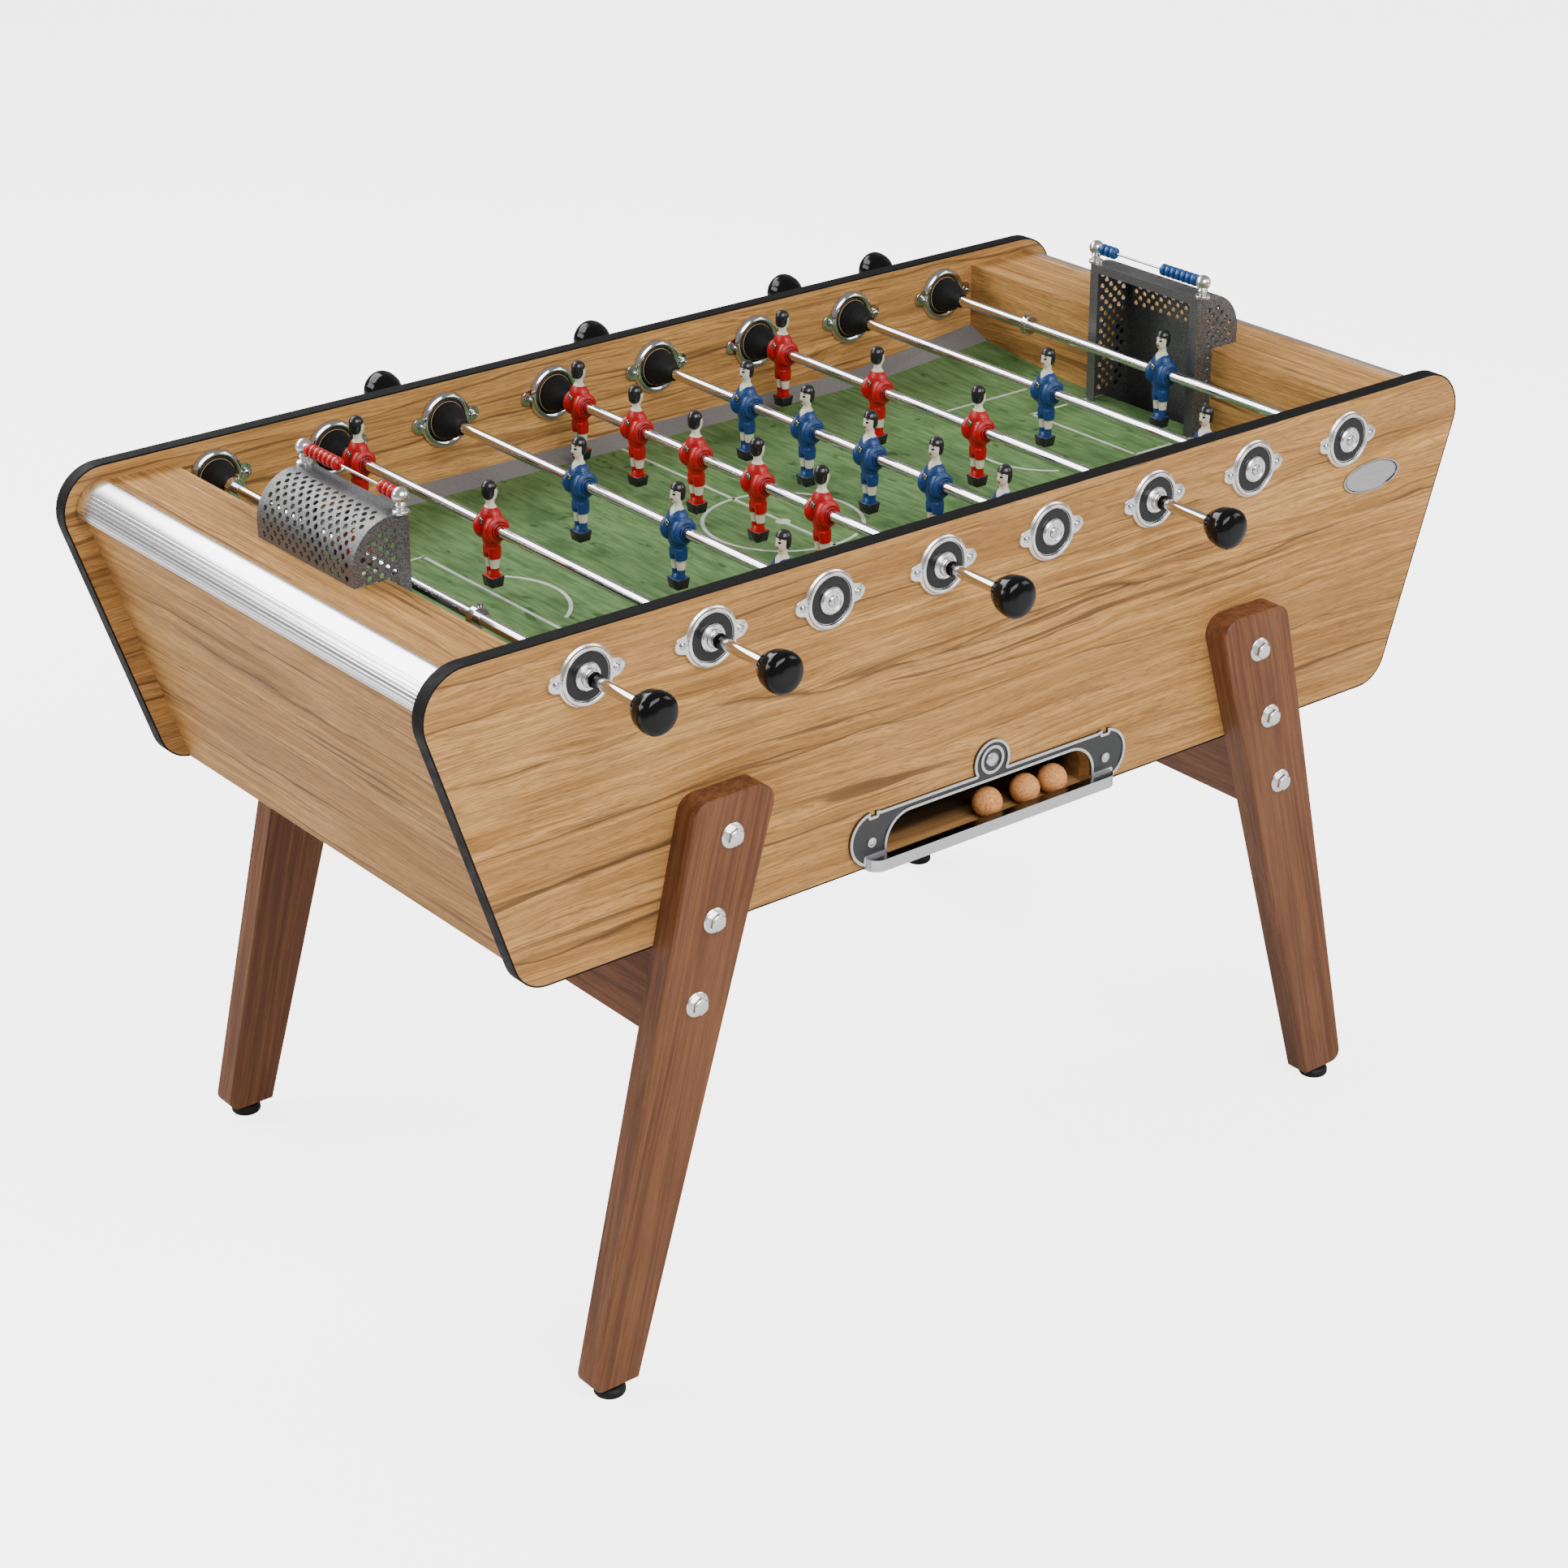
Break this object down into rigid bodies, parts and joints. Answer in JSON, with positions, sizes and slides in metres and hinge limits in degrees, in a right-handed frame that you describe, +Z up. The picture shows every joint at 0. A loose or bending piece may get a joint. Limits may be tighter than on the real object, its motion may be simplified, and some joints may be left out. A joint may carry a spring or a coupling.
{
  "type": "foosball table",
  "caption": "Table football cabinet on splayed legs, with figures on telescopic bars, caged goals, scoring beads and a front ball tray.",
  "frame": {"origin": "centre of the table on the floor", "axes": "+X along the length towards the blue goalkeeper, +Y across towards the side away from the ball tray, +Z up"},
  "size_m": [1.476, 1, 0.9713],
  "materials": {
    "oak_laminate": "satin oak-pattern laminate with dark grain streaks",
    "mahogany": "satin mahogany stain",
    "edge_black": "matt black edge band",
    "plywood": "bare board",
    "aluminium_trim": "satin, finely grooved along its length",
    "cast_aluminium": "polished casting",
    "field_green": "green field print with white lines",
    "field_edge": "grey and green raised edges",
    "chrome": "bright chrome",
    "black_rubber": "matt black",
    "black_gloss": "gloss black",
    "goal_grey": "grey hammered paint",
    "figure_red": "painted red kit",
    "figure_blue": "painted blue kit",
    "bead_mixed": "red beads at one goal, blue at the other",
    "bead_red": "gloss red",
    "bead_blue": "gloss blue",
    "tray_grey": "dark grey with a silver raised border",
    "cork": "cork",
    "plate_enamel": "blank dark oval with a bright rim",
    "foot_black": "black"
  },
  "bodies": {
    "table": {"side_panel_front": "oak_laminate", "side_panel_rear": "oak_laminate", "edge_bands": "edge_black", "end_panels": "oak_laminate", "end_decks": "oak_laminate", "end_trims": "aluminium_trim", "bottom_panels": "plywood", "ball_return": "plywood", "playfield": "field_green", "field_ramps": "field_edge", "bearing_plates": "cast_aluminium", "inner_flanges": "chrome", "bearing_bolts": "chrome", "rod_bushes": "black_rubber", "goal_cages": "goal_grey", "finials_and_wires": "cast_aluminium", "beads_home": "bead_mixed", "tray_plate": "tray_grey", "tray_lip": "aluminium_trim", "nameplate": "plate_enamel", "legs_front": "mahogany", "legs_rear": "mahogany", "stretchers": "mahogany", "leg_bolts": "chrome", "levelling_feet": "foot_black"},
    "red_beads": {"beads_red_sliding": "bead_red"},
    "blue_beads": {"beads_blue_sliding": "bead_blue"},
    "tray_balls": {"balls": "cork"},
    "core_1": {"bar_1_core": "chrome"},
    "bar_1": {"bar_1_tube": "chrome", "bar_1_men": "figure_red", "bar_1_knob": "black_gloss"},
    "core_2": {"bar_2_core": "chrome"},
    "bar_2": {"bar_2_tube": "chrome", "bar_2_men": "figure_red", "bar_2_knob": "black_gloss"},
    "core_3": {"bar_3_core": "chrome"},
    "bar_3": {"bar_3_tube": "chrome", "bar_3_men": "figure_blue", "bar_3_knob": "black_gloss"},
    "core_4": {"bar_4_core": "chrome"},
    "bar_4": {"bar_4_tube": "chrome", "bar_4_men": "figure_red", "bar_4_knob": "black_gloss"},
    "core_5": {"bar_5_core": "chrome"},
    "bar_5": {"bar_5_tube": "chrome", "bar_5_men": "figure_blue", "bar_5_knob": "black_gloss"},
    "core_6": {"bar_6_core": "chrome"},
    "bar_6": {"bar_6_tube": "chrome", "bar_6_men": "figure_red", "bar_6_knob": "black_gloss"},
    "core_7": {"bar_7_core": "chrome"},
    "bar_7": {"bar_7_tube": "chrome", "bar_7_men": "figure_blue", "bar_7_knob": "black_gloss"},
    "core_8": {"bar_8_core": "chrome"},
    "bar_8": {"bar_8_tube": "chrome", "bar_8_men": "figure_blue", "bar_8_knob": "black_gloss"}
  },
  "joints": [
    {"name": "bar_1_spin", "type": "hinge", "parent": "table", "child": "core_1", "pos_m": [-0.546, 0, 0.846], "axis": [0, 1, 0], "continuous": true},
    {"name": "bar_1_slide", "type": "slide", "parent": "core_1", "child": "bar_1", "axis": [0, -1, 0], "range_m": [0, 0.124]},
    {"name": "bar_2_spin", "type": "hinge", "parent": "table", "child": "core_2", "pos_m": [-0.39, 0, 0.846], "axis": [0, 1, 0], "continuous": true},
    {"name": "bar_2_slide", "type": "slide", "parent": "core_2", "child": "bar_2", "axis": [0, -1, 0], "range_m": [0, 0.317]},
    {"name": "bar_3_spin", "type": "hinge", "parent": "table", "child": "core_3", "pos_m": [-0.234, 0, 0.846], "axis": [0, 1, 0], "continuous": true},
    {"name": "bar_3_slide", "type": "slide", "parent": "core_3", "child": "bar_3", "axis": [0, 1, 0], "range_m": [0, 0.218]},
    {"name": "bar_4_spin", "type": "hinge", "parent": "table", "child": "core_4", "pos_m": [-0.078, 0, 0.846], "axis": [0, 1, 0], "continuous": true},
    {"name": "bar_4_slide", "type": "slide", "parent": "core_4", "child": "bar_4", "axis": [0, -1, 0], "range_m": [0, 0.126]},
    {"name": "bar_5_spin", "type": "hinge", "parent": "table", "child": "core_5", "pos_m": [0.078, 0, 0.846], "axis": [0, 1, 0], "continuous": true},
    {"name": "bar_5_slide", "type": "slide", "parent": "core_5", "child": "bar_5", "axis": [0, 1, 0], "range_m": [0, 0.126]},
    {"name": "bar_6_spin", "type": "hinge", "parent": "table", "child": "core_6", "pos_m": [0.234, 0, 0.846], "axis": [0, 1, 0], "continuous": true},
    {"name": "bar_6_slide", "type": "slide", "parent": "core_6", "child": "bar_6", "axis": [0, -1, 0], "range_m": [0, 0.218]},
    {"name": "bar_7_spin", "type": "hinge", "parent": "table", "child": "core_7", "pos_m": [0.39, 0, 0.846], "axis": [0, 1, 0], "continuous": true},
    {"name": "bar_7_slide", "type": "slide", "parent": "core_7", "child": "bar_7", "axis": [0, 1, 0], "range_m": [0, 0.317]},
    {"name": "bar_8_spin", "type": "hinge", "parent": "table", "child": "core_8", "pos_m": [0.546, 0, 0.846], "axis": [0, 1, 0], "continuous": true},
    {"name": "bar_8_slide", "type": "slide", "parent": "core_8", "child": "bar_8", "axis": [0, 1, 0], "range_m": [0, 0.124]},
    {"name": "red_beads_slide", "type": "slide", "parent": "table", "child": "red_beads", "axis": [0, 1, 0], "range_m": [0, 0.081]},
    {"name": "blue_beads_slide", "type": "slide", "parent": "table", "child": "blue_beads", "axis": [0, -1, 0], "range_m": [0, 0.081]},
    {"name": "tray_balls_roll", "type": "slide", "parent": "table", "child": "tray_balls", "axis": [1, 0, 0], "range_m": [-0.14, 0.027]}
  ]
}
